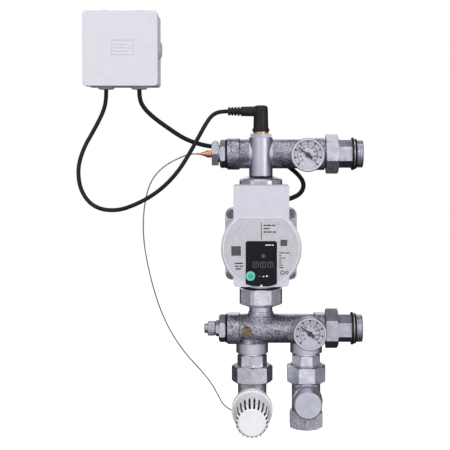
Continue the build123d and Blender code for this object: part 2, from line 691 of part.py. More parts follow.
for side, outlet_x, axis_z, turn in (("thermostat", left_outlet_x, thermostat_z, 0.0),
                                     ("lockshield", right_outlet_x, lockshield_z, 22.5)):
    down = along_down(outlet_x, 0, 0)
    front = along_front(outlet_x, 0, axis_z)
    with BuildPart() as tail:
        bevelled_prism(down, tail_flats, 8, -tail_top, -tail_bottom, turn, low_bevel=1.0, high_bevel=0.3)
        cylinder_at(down, outlet_socket_radius - 0.1, -return_z + outlet_drop - outlet_socket_depth, -tail_top)
        cylinder_at(down, boss_radius - 0.5, -tail_bottom, -valve_top)
        cylinder_at(down, tailpiece_flange_radius, -valve_top - 3.0, -valve_top)
        cylinder_at(down, outlet_bore_radius, -return_z + outlet_drop - outlet_socket_depth, -valve_top,
                    Mode.SUBTRACT)
    finish_piece(tail, side + "_tail")

    with BuildPart() as valve_nut:
        bevelled_prism(down, valve_nut_flats, 8, -valve_nut_top, -valve_nut_top + valve_nut_height, turn,
                       low_bevel=2.0, high_bevel=2.6)
        cylinder_at(down, valve_body_radius + gap, -valve_top - 3.0 - gap, -valve_nut_top + valve_nut_height,
                    Mode.SUBTRACT)
        cylinder_at(down, boss_radius - 0.5 + gap, -tail_bottom + gap, -valve_nut_top + valve_nut_height,
                    Mode.SUBTRACT)
        cylinder_at(down, tail_flats / 2 / cos(pi / 8) + gap, -valve_nut_top, -tail_bottom + gap, Mode.SUBTRACT)
    finish_piece(valve_nut, side + "_union_nut")

    with BuildPart() as valve_body:
        cylinder_at(down, valve_body_radius, -valve_top, -valve_bottom)
        bevelled_prism(down, valve_hex_flats, 6, -valve_bottom - valve_hex_height, -valve_bottom, 30,
                       low_bevel=1.6, high_bevel=2.2)
        cylinder_at(down, valve_body_radius, -valve_top, -valve_bottom - valve_hex_height)
        cylinder_at(front, boss_radius, 0, boss_front)
        cylinder_at(down, valve_bore_radius, -valve_top, -valve_bottom, Mode.SUBTRACT)
        cylinder_at(down, inlet_thread_radius, -valve_bottom - inlet_thread_length, -valve_bottom, Mode.SUBTRACT)
        cylinder_at(front, insert_hole_radius, 2.0, boss_front, Mode.SUBTRACT)
        for low, high, near, far in ((axis_z - seat_half, axis_z + seat_half, 2.0, 2.0 + web),
                                     (axis_z - seat_half - web, axis_z - seat_half, -valve_bore_radius - 1, 2.0 + web),
                                     (axis_z + seat_half, axis_z + seat_half + web, 2.0, valve_bore_radius + 1)):
            with BuildSketch(Plane.XY.offset(low)):
                with Locations((outlet_x, 0)):
                    Circle(valve_bore_radius + 1)
                with Locations((outlet_x, (near + far) / 2)):
                    Rectangle(2 * valve_bore_radius + 4, far - near, mode=Mode.INTERSECT)
            extrude(amount=high - low)
        cylinder_at(front, seat_radius, -2.0 - web, -2.0, Mode.SUBTRACT)
        cylinder_at(front, insert_hole_radius, 2.0, boss_front, Mode.SUBTRACT)
    finish_piece(valve_body, side + "_valve_body")

# ---------------------------------------------------------------- thermostatic insert and head
spindle_radius = 2.5
disc_radius = 8.2
disc_length = 3.0
spindle_travel = 1.3            # each way from the rest position
insert_bore_radius = 8.7
thermostat = along_front(left_outlet_x, 0, thermostat_z)
lockshield = along_front(right_outlet_x, 0, lockshield_z)
disc_back = -2.0 + spindle_travel + gap
head_nut_radius = 16.4
head_nut_back = 24.0
head_nut_front = 35.7
scale_ring_radius = 24.1
scale_ring_back = 36.0
scale_ring_front = 51.0
spigot_radius = 12.0
spigot_front = 60.0
wheel_back = 51.5
wheel_front = 105.0
wheel_radius = 21.8
wheel_shoulder_radius = 20.9
wheel_shoulder = 66.0
wheel_nose_radius = 18.5
wheel_nose = 98.0
wheel_disc_radius = 14.4
wheel_wall = 1.8
slot_count = 22
slot_width = 2.3
slot_back = 70.5
slot_front = 103.4
slot_depth_radius = 14.9
slot_reach = 11.0
head_sensor_radius = 11.0

with BuildPart() as valve_insert:
    ring_at(thermostat, insert_bore_radius, insert_radius, 3.0, boss_front)
    ring_at(thermostat, spindle_radius + gap, 13.6, boss_front, insert_front)
    ring_at(thermostat, spindle_radius + gap, insert_bore_radius + 1, 18.0, boss_front)
finish_piece(valve_insert, "valve_insert")

pin_front = insert_front + 4.0
spring_back = disc_back + disc_length
with BuildPart() as valve_spindle:
    cylinder_at(thermostat, disc_radius, disc_back, spring_back)
    cylinder_at(thermostat, spindle_radius, spring_back, pin_front)
finish_piece(valve_spindle, "valve_spindle")

spring_pitch = 2.2
spring_length = 8.8
spring_wire_radius = 0.55
spring_radius = 6.2
spring_start = spring_back + spindle_travel + 1.9
with BuildPart() as valve_spring:
    with BuildLine() as coil:
        Helix(spring_pitch, spring_length, spring_radius,
              center=thermostat.origin + thermostat.y_dir * spring_start, direction=thermostat.y_dir)
    with BuildSketch(Plane(origin=coil.line @ 0, z_dir=coil.line % 0)):
        Circle(spring_wire_radius)
    sweep(is_frenet=True)
finish_piece(valve_spring, "valve_spring")

with BuildPart() as head_nut:
    ring_at(thermostat, 13.6, head_nut_radius, head_nut_back, insert_front)
    ring_at(thermostat, head_sensor_radius, head_nut_radius, insert_front, head_nut_front)
    with BuildSketch(across(thermostat, head_nut_back)):
        with PolarLocations(head_nut_radius + 0.3, 20):
            Circle(0.8)
    extrude(amount=head_nut_front - head_nut_back, mode=Mode.SUBTRACT)
finish_piece(head_nut, "head_nut")

with BuildPart() as scale_ring:
    turned(thermostat, [(head_sensor_radius, scale_ring_back - 0.3), (scale_ring_radius - 2.6, scale_ring_back - 0.3),
                        (scale_ring_radius, scale_ring_back + 3.5), (scale_ring_radius, scale_ring_front - 1.2),
                        (scale_ring_radius - 1.2, scale_ring_front), (spigot_radius, scale_ring_front),
                        (spigot_radius, spigot_front), (head_sensor_radius, spigot_front)])
finish_piece(scale_ring, "scale_ring")

sensor_pin_gap = spindle_travel + gap
with BuildPart() as head_sensor:
    turned(thermostat, [(0, pin_front + sensor_pin_gap), (6.0, pin_front + sensor_pin_gap), (6.0, head_nut_front + 1),
                        (head_sensor_radius, head_nut_front + 1), (head_sensor_radius, 90.0), (9.0, 92.0),
                        (0, 92.0)])
finish_piece(head_sensor, "head_sensor")

with BuildPart() as handwheel:
    turned(thermostat, [(spigot_radius + fit, wheel_back), (wheel_radius, wheel_back),
                        (wheel_shoulder_radius, wheel_shoulder), (wheel_nose_radius, wheel_nose),
                        (wheel_disc_radius + 2.2, wheel_front - 2.4), (wheel_disc_radius, wheel_front),
                        (0, wheel_front), (0, wheel_front - 2.5),
                        (slot_depth_radius - 1.5, wheel_front - 2.5), (wheel_nose_radius - wheel_wall, wheel_nose - 1),
                        (wheel_shoulder_radius - wheel_wall, wheel_shoulder), (wheel_radius - wheel_wall, wheel_back + 4),
                        (spigot_radius + fit, wheel_back + 4)])
    with BuildSketch(across(thermostat, slot_back)):
        with PolarLocations(slot_depth_radius + slot_reach / 2, slot_count):
            Rectangle(slot_reach, slot_width)
    extrude(amount=slot_front - slot_back, mode=Mode.SUBTRACT)
finish_piece(handwheel, "handwheel")

# ---------------------------------------------------------------- lockshield insert, spindle, cap
cap_base_radius = 18.1
cap_front_radius = 16.2
cap_back = 23.0
cap_front = 55.0
cap_bore_radius = 13.6 + fit
lockshield_hex = 5.0
with BuildPart() as lockshield_insert:
    ring_at(lockshield, insert_bore_radius, insert_radius, 3.0, boss_front)
    ring_at(lockshield, 5.0 + fit, 13.6, boss_front, insert_front)
    ring_at(lockshield, 5.0 + fit, insert_bore_radius + 1, 16.0, boss_front)
finish_piece(lockshield_insert, "lockshield_insert")

with BuildPart() as lockshield_spindle:
    cylinder_at(lockshield, disc_radius, disc_back + 3, disc_back + 3 + disc_length)
    cylinder_at(lockshield, 5.0, disc_back + 3 + disc_length, insert_front + 6)
    prism_at(lockshield, lockshield_hex, 6, insert_front, insert_front + 6, 0, Mode.SUBTRACT)
finish_piece(lockshield_spindle, "lockshield_spindle")

with BuildPart() as lockshield_cap:
    turned(lockshield, [(0, cap_back), (cap_base_radius - 0.6, cap_back), (cap_base_radius, cap_back + 0.8),
                        (cap_base_radius, cap_back + 9), (cap_front_radius, cap_back + 12),
                        (cap_front_radius, cap_front - 1.2), (cap_front_radius - 1.2, cap_front), (0, cap_front)])
    cylinder_at(lockshield, cap_bore_radius, cap_back, cap_front - 3.0, Mode.SUBTRACT)
finish_piece(lockshield_cap, "lockshield_cap")

# ---------------------------------------------------------------- thermometers
case_radius = 19.8
case_back = 31.0
case_front = 43.0
case_cavity_radius = case_radius - 1.8
lens_opening_radius = case_radius - 2.6
dial_thickness = 0.5
dial_front = 38.5
lens_back = 41.0
lens_front = 42.0
pointer_hub_radius = 3.0
pointer_shaft_radius = 0.8
pointer_length = 13.6
pointer_tail = 6.4
pointer_angle = 142.0           # of the pointer's tip, counted from +X as seen from the front
thermometers = (("flow", flow_thermometer), ("return", return_thermometer))

for side, (dial_x, dial_z) in thermometers:
    dial = along_front(dial_x, 0, dial_z)
    with BuildPart() as case:
        turned(dial, [(0, case_back), (case_radius - 1.5, case_back), (case_radius, case_back + 1.5),
                      (case_radius, case_front - 1.4), (case_radius - 1.0, case_front), (0, case_front)])
        cylinder_at(dial, thermometer_boss_radius - 1.5, -thermometer_boss_front, case_back)
        cylinder_at(dial, thermometer_stem_radius, 3.0, -thermometer_boss_front)
        cylinder_at(dial, case_cavity_radius, dial_front - dial_thickness, lens_front, Mode.SUBTRACT)
        cylinder_at(dial, lens_opening_radius, lens_front, case_front, Mode.SUBTRACT)
        cylinder_at(dial, pointer_shaft_radius + fit, dial_front - 4, dial_front, Mode.SUBTRACT)
    finish_piece(case, side + "_thermometer_case")

    with BuildPart() as pointer:
        cylinder_at(dial, pointer_shaft_radius, dial_front - 3, dial_front + 0.5)
        cylinder_at(dial, pointer_hub_radius, dial_front + 0.4, dial_front + 1.8)
        tip = (cos(radians(pointer_angle)), sin(radians(pointer_angle)))
        with BuildSketch(Plane(origin=(dial_x, -dial_front - 0.6, dial_z), x_dir=(tip[0], 0, tip[1]),
                               z_dir=(0, -1, 0))):
            with BuildLine():
                Polyline((-pointer_tail, -2.2), (0, -1.3), (pointer_length, -0.5), (pointer_length, 0.5),
                         (0, 1.3), (-pointer_tail, 2.2), close=True)
            make_face()
        extrude(amount=0.7)
    finish_piece(pointer, side + "_thermometer_pointer")

with BuildPart() as thermometer_dials:
    for side, (dial_x, dial_z) in thermometers:
        ring_at(along_front(dial_x, 0, dial_z), pointer_shaft_radius + fit, case_cavity_radius - 0.1,
                dial_front - dial_thickness, dial_front)
finish_piece(thermometer_dials, "thermometer_dials")

with BuildPart() as thermometer_lenses:
    for side, (dial_x, dial_z) in thermometers:
        cylinder_at(along_front(dial_x, 0, dial_z), case_cavity_radius - 0.1, lens_back, lens_front)
finish_piece(thermometer_lenses, "thermometer_lenses")

# ---------------------------------------------------------------- junction box
box_size = 90.0
box_depth = 52.0
box_x = -283.0
box_z = 126.0
box_front = -2.0
box_radius = 4.5
lid_depth = 11.0
lid_wall = 2.2
base_inset = 1.0
base_wall = 2.4
rim_depth = 3.0
entry_spacing = 40.4
entry_radius = 11.4
entry_hole_radius = 9.4
entry_length = 3.6
entry_tip_radius = 9.2
entry_y = 24.0
entry_wall_radius = 11.9
floor_screw_radius = 2.2
floor_screw_spacing = 60.0
box_back = box_front + box_depth
lid_back = box_front + lid_depth
base_half = box_size / 2 - base_inset
box_face = Plane(origin=(box_x, 0, box_z), x_dir=(1, 0, 0), z_dir=(0, -1, 0))
entries = [along_up(box_x - entry_spacing / 2, entry_y, box_z + base_half),
           along_up(box_x + entry_spacing / 2, entry_y, box_z + base_half),
           along_down(box_x - entry_spacing / 2, entry_y, box_z - base_half),
           along_down(box_x + entry_spacing / 2, entry_y, box_z - base_half),
           along_minus_x(box_x - base_half, entry_y, box_z),
           along_x(box_x + base_half, entry_y, box_z)]

with BuildPart() as box_base:
    with BuildSketch(box_face.offset(-box_back)):
        RectangleRounded(2 * base_half, 2 * base_half, box_radius - base_inset)
    extrude(amount=box_back - lid_back)
    with BuildSketch(box_face.offset(-lid_back)):
        rim_half = box_size / 2 - lid_wall - gap
        RectangleRounded(2 * rim_half, 2 * rim_half, 2.4)
    extrude(amount=rim_depth)
    with BuildSketch(box_face.offset(-box_back + base_wall)):
        inner_half = box_size / 2 - lid_wall - gap - base_wall
        RectangleRounded(2 * inner_half, 2 * inner_half, 1.5)
    extrude(amount=box_depth, mode=Mode.SUBTRACT)
    for entry in entries:
        cylinder_at(entry, entry_hole_radius, -8, 2, Mode.SUBTRACT)
    with BuildSketch(box_face.offset(-box_back)):
        with Locations((-floor_screw_spacing / 2, 0), (floor_screw_spacing / 2, 0)):
            Circle(floor_screw_radius)
    extrude(amount=base_wall, mode=Mode.SUBTRACT)
finish_piece(box_base, "box_base")

with BuildPart() as box_lid:
    with BuildSketch(box_face.offset(-lid_back)):
        RectangleRounded(box_size, box_size, box_radius)
    extrude(amount=lid_depth)
    fillet(box_lid.faces().sort_by(Axis.Y)[0].edges(), 1.2)
    with BuildSketch(box_face.offset(-lid_back)):
        RectangleRounded(box_size - 2 * lid_wall, box_size - 2 * lid_wall, box_radius - lid_wall)
    extrude(amount=lid_depth - lid_wall, mode=Mode.SUBTRACT)
finish_piece(box_lid, "box_lid")

with BuildPart() as box_cable_entries:
    for entry in entries:
        turned(entry, [(0, -5.5), (entry_hole_radius - 1.5, -5.5), (entry_hole_radius, -4.0), (entry_hole_radius, 0),
                       (entry_radius, 0), (entry_radius, 0.9), (entry_tip_radius, entry_length - 0.8),
                       (entry_tip_radius - 0.8, entry_length), (0, entry_length)])
finish_piece(box_cable_entries, "box_cable_entries")

terminal_ways = 5
terminal_pitch = 10.0
terminal_back = box_back - base_wall
with BuildPart() as terminal_block:
    with BuildSketch(box_face.offset(-terminal_back)):
        Rectangle(terminal_ways * terminal_pitch, 17.0)
    extrude(amount=6.0)
    with BuildSketch(box_face.offset(-terminal_back + 6.0)):
        with GridLocations(terminal_pitch, 1, terminal_ways, 1):
            Rectangle(terminal_pitch - 2.5, 15.0)
    extrude(amount=9.0)
    with BuildSketch(box_face.offset(-terminal_back + 15.0)):
        with GridLocations(terminal_pitch, 8.0, terminal_ways, 2):
            Circle(1.9)
    extrude(amount=-7.0, mode=Mode.SUBTRACT)
finish_piece(terminal_block, "terminal_block")

# ---------------------------------------------------------------- cords
cable_exit = plug_arm_frame.origin + plug_arm_frame.y_dir * plug_arm_length
sensor_route = [tuple(cable_exit), (-164, -4, 50.7), (-173.5, -4.6, 46), (-181.2, -6.5, 34.5),
                (-190, -9, 18), (-200.5, -11, -1), (-214, -13, -22.5), (-234, -14, -43), (-259, -13, -58.5),
                (-287, -10, -68.5), (-314.5, -4, -64.5), (-331.5, 3, -45.5), (-336.5, 10, -18.5),
                (-330, 15, 6.5), (-318, 19, 28), (-308, 22.5, 48), (-303.2, 24, 63.5),
                (box_x - entry_spacing / 2, entry_y, box_z - base_half - entry_length)]
pump_route = [(box_x + entry_spacing / 2, entry_y, box_z - base_half - entry_length), (-262.8, 24, 66.5),
              (-257.2, 24, 55.6), (-246.5, 24, 45), (-229.5, 24.5, 32.5), (-206.5, 27, 17), (-180, 29.5, 9),
              (-153, 30.5, 7.2), (-127.5, 30.5, 5.2), (-103.5, 28.5, -0.8), (-84.5, 22, -12.8), (-70.2, 9, -24),
              (-63.2, -7, -34.5), (-66, -21.5, -44.5), (-76, -34, -51), gland_mouth]
capillary_route = [(cone_tip_x, 0, 0), (-200.5, 0, 0), (-212, 0.2, -4.5), (-226, 0.5, -11.5),
                   (-238.5, 0.4, -21.5), (-248, -0.6, -35.5),
                   (-253.5, -3, -56), (-255.8, -7, -83), (-253.7, -11.5, -110), (-248.3, -16, -136),
                   (-241, -21, -163), (-231, -26, -190), (-217.5, -31, -215), (-201, -35.5, -236.5),
                   (-185.5, -38.5, -252), (-172, -41.5, -268), (-163, -43.5, -284.5), (-157.6, -44, -294),
                   (left_outlet_x - scale_ring_radius, -44, thermostat_z - 0.4)]


def tube_path(route):
    """Corner radii for a route: as large as the two runs at each corner allow."""
    radii = []
    for before, corner, after in zip(route, route[1:], route[2:]):
        run_in = Vector(*corner) - Vector(*before)
        run_out = Vector(*after) - Vector(*corner)
        half_turn = radians(run_in.get_angle(run_out) / 2)
        radii.append(0.45 * min(run_in.length, run_out.length) / tan(half_turn))
    return radii


for name, route, radius in (("sensor_cable", sensor_route, cable_radius), ("pump_cable", pump_route, 2.75),
                            ("capillary_tube", capillary_route, capillary_radius)):
    radii = tube_path(route)
    with BuildPart() as cord:
        with BuildLine() as path:
            FilletPolyline(*route, radius=radii)
        start_direction = Vector(*route[1]) - Vector(*route[0])
        with BuildSketch(Plane(origin=route[0], z_dir=start_direction)):
            Circle(radius)
        sweep()
    finish_piece(cord, name)
    length = path.wire().length
    print(name, "length", round(length, 1), "volume ratio",
          round(cord.part.volume / (pi * radius ** 2 * length), 4),
          "radii in diameters", [round(value / radius / 2, 1) for value in radii])
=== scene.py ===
import bpy
import bmesh
import math
from mathutils import Matrix, Vector


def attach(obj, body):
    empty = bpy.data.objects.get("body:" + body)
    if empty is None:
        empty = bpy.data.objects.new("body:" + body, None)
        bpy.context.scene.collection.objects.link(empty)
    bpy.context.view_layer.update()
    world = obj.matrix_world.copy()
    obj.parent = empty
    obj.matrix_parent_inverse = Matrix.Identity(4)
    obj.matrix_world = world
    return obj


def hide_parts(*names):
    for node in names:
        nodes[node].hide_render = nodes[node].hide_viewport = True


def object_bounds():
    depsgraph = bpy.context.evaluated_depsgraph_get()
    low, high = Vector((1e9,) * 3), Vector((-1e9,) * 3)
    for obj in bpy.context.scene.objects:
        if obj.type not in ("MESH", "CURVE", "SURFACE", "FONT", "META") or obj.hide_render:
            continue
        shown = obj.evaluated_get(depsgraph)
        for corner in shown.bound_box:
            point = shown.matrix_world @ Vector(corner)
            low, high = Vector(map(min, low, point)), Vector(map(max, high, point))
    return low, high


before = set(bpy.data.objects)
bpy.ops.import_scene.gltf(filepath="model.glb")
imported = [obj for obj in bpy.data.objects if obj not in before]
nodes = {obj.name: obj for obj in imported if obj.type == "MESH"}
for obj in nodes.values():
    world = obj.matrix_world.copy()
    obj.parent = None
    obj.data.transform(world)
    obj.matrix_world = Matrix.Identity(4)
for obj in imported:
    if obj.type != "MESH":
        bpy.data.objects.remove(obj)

cadLow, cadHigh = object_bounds()
mm = 0.001


# shader maths, written as expressions
class Signal:
    def __init__(self, finish, socket):
        self.finish = finish
        self.socket = socket

    def maths(self, operation, other=0.0, flipped=False):
        first, second = (other, self) if flipped else (self, other)
        return self.finish.node("ShaderNodeMath", {"operation": operation}, {0: first, 1: second})

    def __add__(self, other):
        return self.maths("ADD", other)

    def __radd__(self, other):
        return self.maths("ADD", other, True)

    def __sub__(self, other):
        return self.maths("SUBTRACT", other)

    def __rsub__(self, other):
        return self.maths("SUBTRACT", other, True)

    def __mul__(self, other):
        return self.maths("MULTIPLY", other)

    def __rmul__(self, other):
        return self.maths("MULTIPLY", other, True)

    def __truediv__(self, other):
        return self.maths("DIVIDE", other)

    def __rtruediv__(self, other):
        return self.maths("DIVIDE", other, True)

    def __pow__(self, other):
        return self.maths("POWER", other)

    def __rpow__(self, other):
        return self.maths("POWER", other, True)

    def __abs__(self):
        return self.maths("ABSOLUTE")

    def __gt__(self, other):
        return self.maths("GREATER_THAN", other)

    def __lt__(self, other):
        return self.maths("LESS_THAN", other)

    def least(self, other):
        return self.maths("MINIMUM", other)

    def most(self, other):
        return self.maths("MAXIMUM", other)

    def rise(self, low, high, start=0.0, end=1.0):
        settings = {"interpolation_type": "SMOOTHSTEP", "clamp": True}
        return self.finish.node("ShaderNodeMapRange", settings,
                                {0: self, 1: low, 2: high, 3: start, 4: end})


class Finish:
    def __init__(self, name, owner=None, coordinates=3):  # 3 is Object, 0 is Generated, for the world
        self.material = owner or bpy.data.materials.new(name)
        self.material.use_nodes = True
        self.tree = self.material.node_tree
        self.tree.nodes.clear()
        self.place = self.node("ShaderNodeTexCoord", {}, {}, coordinates)

    def node(self, kind, settings=None, inputs=None, output=0):
        made = self.tree.nodes.new(kind)
        for name, value in (settings or {}).items():
            setattr(made, name, value)
        for key, value in (inputs or {}).items():
            if isinstance(value, Signal):
                self.tree.links.new(value.socket, made.inputs[key])
            else:
                made.inputs[key].default_value = value
        return Signal(self, made.outputs[output]) if len(made.outputs) else None

    def stretch(self, x=1.0, y=1.0, z=1.0):
        return self.node("ShaderNodeVectorMath", {"operation": "MULTIPLY"}, {0: self.place, 1: (x, y, z)})

    def axes(self):
        parts = self.tree.nodes.new("ShaderNodeSeparateXYZ")
        self.tree.links.new(self.place.socket, parts.inputs[0])
        return [Signal(self, parts.outputs[i]) for i in range(3)]

    def noise(self, size, detail=3.0, roughness=0.55, where=None):
        return self.node("ShaderNodeTexNoise", {}, {"Vector": where or self.place, "Scale": 1.0 / (size * mm),
                                                    "Detail": detail, "Roughness": roughness})

    def blend(self, amount, first, second):
        colours = [value if isinstance(value, Signal) else (*value, 1.0) for value in (first, second)]
        return self.node("ShaderNodeMix", {"data_type": "RGBA"}, {0: amount, 6: colours[0], 7: colours[1]}, 2)

    def bump(self, height, strength, depth, normal=None):
        inputs = {"Strength": strength, "Distance": depth * mm, "Height": height}
        if normal:
            inputs["Normal"] = normal
        return self.node("ShaderNodeBump", {}, inputs)

    def rounded(self, radius):
        return self.node("ShaderNodeBevel", {"samples": 4}, {"Radius": radius * mm})

    def edges(self, radius):
        facing = self.node("ShaderNodeNewGeometry", {}, {}, 1)
        turn = self.node("ShaderNodeVectorMath", {"operation": "DOT_PRODUCT"},
                         {0: self.rounded(radius), 1: facing}, 1)
        return (1.0 - turn).rise(0.01, 0.16)

    def done(self, **sockets):
        inputs = {}
        for key, value in sockets.items():
            inputs[key.replace("_", " ")] = (*value, 1.0) if isinstance(value, tuple) else value
        shader = self.node("ShaderNodeBsdfPrincipled", {}, inputs)
        self.node("ShaderNodeOutputMaterial", {}, {0: shader})
        return self.material


bandBrass = (0.62, 0.42, 0.17)  # a brass ring on a plated piece


def lighter(colour, gain, lift=0.0):
    return tuple(min(1.0, c * gain + lift) for c in colour)


# metals
def castMetal(name, dark, light, grain=1.0, depth=0.2, rough=0.34, bar=None):
    f = Finish(name)
    fine = f.noise(grain, 3.0, 0.7)
    coarse = f.noise(grain * 3.2, 3.0, 0.6)
    broad = f.noise(18.0, 3.0)
    speck = (fine * 0.6 + coarse * 0.25 + broad * 0.15).rise(0.4, 0.6)
    if bar:
        x, y, z = f.axes()
        smooth = abs(z - bar["z"] * mm).rise(16.6 * mm, 17.8 * mm)
        if "tubeX" in bar:
            smooth = smooth.most(abs(x - bar["tubeX"] * mm).rise(14.2 * mm, 13.4 * mm))
        speck = speck * (1.0 - 0.8 * smooth) + 0.95 * smooth
        rough = rough - 0.08 * smooth
    edgeWearAndHighlight = f.edges(0.9)
    colour = f.blend(speck, dark, light)
    # edges painted lighter: partly real edge wear, partly a painted highlight
    colour = f.blend(edgeWearAndHighlight * 0.75, colour, lighter(light, 1.12))
    normal = f.bump(fine * 0.7 + coarse * 0.3, 0.6, depth, f.rounded(0.6))
    return f.done(Base_Color=colour, Metallic=1.0, Roughness=rough + 0.2 * fine - 0.14 * edgeWearAndHighlight, Normal=normal)


def turnedMetal(name, dark, light, axis="X", rough=0.26, pitch=0.35, depth=0.012, band=None):
    f = Finish(name)
    lines = f.node("ShaderNodeTexNoise", {}, {
        "Vector": f.stretch(*[(1.0 / (pitch * mm) if a == axis else 60.0) for a in "XYZ"]),
        "Scale": 1.0, "Detail": 2.0})
    grain = f.noise(0.9, 3.0, 0.65)
    smudge = f.noise(9.0, 3.0, 0.6)
    edgeWearAndHighlight = f.edges(0.5)
    colour = f.blend((lines * 0.2 + smudge * 0.3 + grain * 0.5).rise(0.38, 0.62), dark, light)
    if band:
        height = f.axes()[2]
        brass = (height > band[0] * mm) * (height < band[1] * mm)
        colour = f.blend(brass, colour, bandBrass)
    # edges painted lighter: partly real edge wear, partly a painted highlight
    colour = f.blend(edgeWearAndHighlight * 0.7, colour, lighter(light, 1.15))
    normal = f.bump(lines * 0.4 + grain * 0.6, 0.35, depth, f.rounded(0.45))
    return f.done(Base_Color=colour, Metallic=1.0, Roughness=rough + 0.14 * smudge, Normal=normal)


# plastics, rubber and paint
def plastic(name, tone, shade, rough=0.5, grain=0.5, depth=0.02, round=0.5, shine=0.5, mottle=12.0):
    f = Finish(name)
    fine = f.noise(grain, 3.0, 0.6)
    broad = f.noise(mottle, 3.0)
    colour = f.blend((broad * 0.7 + fine * 0.3).rise(0.3, 0.7), tone, shade)
    # edges painted lighter: a painted highlight along the rounded edges
    colour = f.blend(f.edges(round) * 0.35, colour, lighter(tone, 1.1, 0.01))
    normal = f.bump(fine, 0.3, depth, f.rounded(round))
    return f.done(Base_Color=colour, Roughness=rough - 0.06 + 0.12 * fine, Specular_IOR_Level=shine,
                  Normal=normal)


# white outside, with painted shade within the slots, from the wheel's turned outline
def wheelPlastic(name, tone, shade, paintedSlotShade, facts):
    f = Finish(name)
    x, y, z = f.axes()
    depth = (0.0 - y) / mm
    reach = (((x / mm - facts["x"]) ** 2.0) + ((z / mm - facts["z"]) ** 2.0)) ** 0.5
    flank = facts["shoulder"][1] - (depth - facts["shoulder"][0]) * facts["taper"]
    crown = facts["nose"][1] - (depth - facts["nose"][0]) * facts["crownTaper"]
    # painted shade: surfaces more than 0.7 mm inside the turned outline (slot walls, grooves) take the dark colour
    paintedSlotShadeMask = (flank.least(crown) - reach).rise(0.7, 1.5) * (depth < facts["front"])
    fine = f.noise(0.3, 3.0, 0.6)
    broad = f.noise(9.0, 3.0)
    colour = f.blend((broad * 0.7 + fine * 0.3).rise(0.3, 0.7), tone, shade)
    colour = f.blend(paintedSlotShadeMask, colour, paintedSlotShade)
    normal = f.bump(fine, 0.3, 0.015, f.rounded(0.5))
    return f.done(Base_Color=colour, Roughness=0.32 + 0.1 * fine, Normal=normal)


def lensGlass():
    f = Finish("dialGlass")
    dust = f.noise(6.0, 2.0)
    return f.done(Base_Color=(0.96, 0.98, 0.98), Roughness=0.03 + 0.05 * dust, IOR=1.15, Alpha=0.04)


wheel = {"x": -125.2, "z": -298.0, "shoulder": (66.0, 20.9), "taper": 0.075, "nose": (98.0, 18.5),
         "crownTaper": 0.5857, "front": 104.2}

metals = {
    "castFlow": castMetal("flowBarCasting", (0.05, 0.05, 0.065), (0.50, 0.50, 0.58),
                          bar={"z": 0.0, "tubeX": -114.8}),
    "castReturn": castMetal("returnBarCasting", (0.07, 0.07, 0.09), (0.60, 0.60, 0.68), bar={"z": -210.0}),
    "cast": castMetal("valveCasting", (0.34, 0.34, 0.39), (0.86, 0.86, 0.95)),
    "castPump": castMetal("pumpCasting", (0.02, 0.02, 0.024), (0.075, 0.075, 0.085), 1.2, 0.2, 0.5),
    "motor": castMetal("motorCasting", (0.34, 0.34, 0.38), (0.68, 0.68, 0.75), 1.0, 0.12, 0.38),
    "turnedX": turnedMetal("nickelTurnedX", (0.36, 0.36, 0.41), (0.62, 0.62, 0.70), "X"),
    "drain": turnedMetal("drainTurned", (0.10, 0.10, 0.12), (0.60, 0.60, 0.67), "X", 0.2),
    "turnedZ": turnedMetal("nickelTurnedZ", (0.50, 0.50, 0.56), (0.88, 0.88, 0.97), "Z"),
    "turnedY": turnedMetal("nickelTurnedY", (0.50, 0.50, 0.57), (0.68, 0.68, 0.76), "Y", 0.36),
    "sensorHex": turnedMetal("sensorHex", (0.46, 0.46, 0.52), (0.76, 0.76, 0.84), "Z", band=(24.0, 26.5)),
    "bezel": turnedMetal("bezelSteel", (0.50, 0.50, 0.55), (0.70, 0.70, 0.76), "Y", 0.34),
    "steel": turnedMetal("zincSteel", (0.06, 0.06, 0.065), (0.30, 0.30, 0.31), "Y", 0.3),
    "tube": turnedMetal("drawnSteel", (0.12, 0.12, 0.13), (0.24, 0.24, 0.26), "Y", 0.34),
    "brass": turnedMetal("turnedBrass", (0.42, 0.28, 0.11), (0.72, 0.52, 0.24), "X", 0.24),
    "badge": turnedMetal("badgeBrass", (0.03, 0.02, 0.01), (0.36, 0.28, 0.17), "Z", 0.3, 1.1, 0.05),
    "copper": turnedMetal("turnedCopper", (0.5, 0.2, 0.1), (0.82, 0.42, 0.26), "X", 0.24),
}
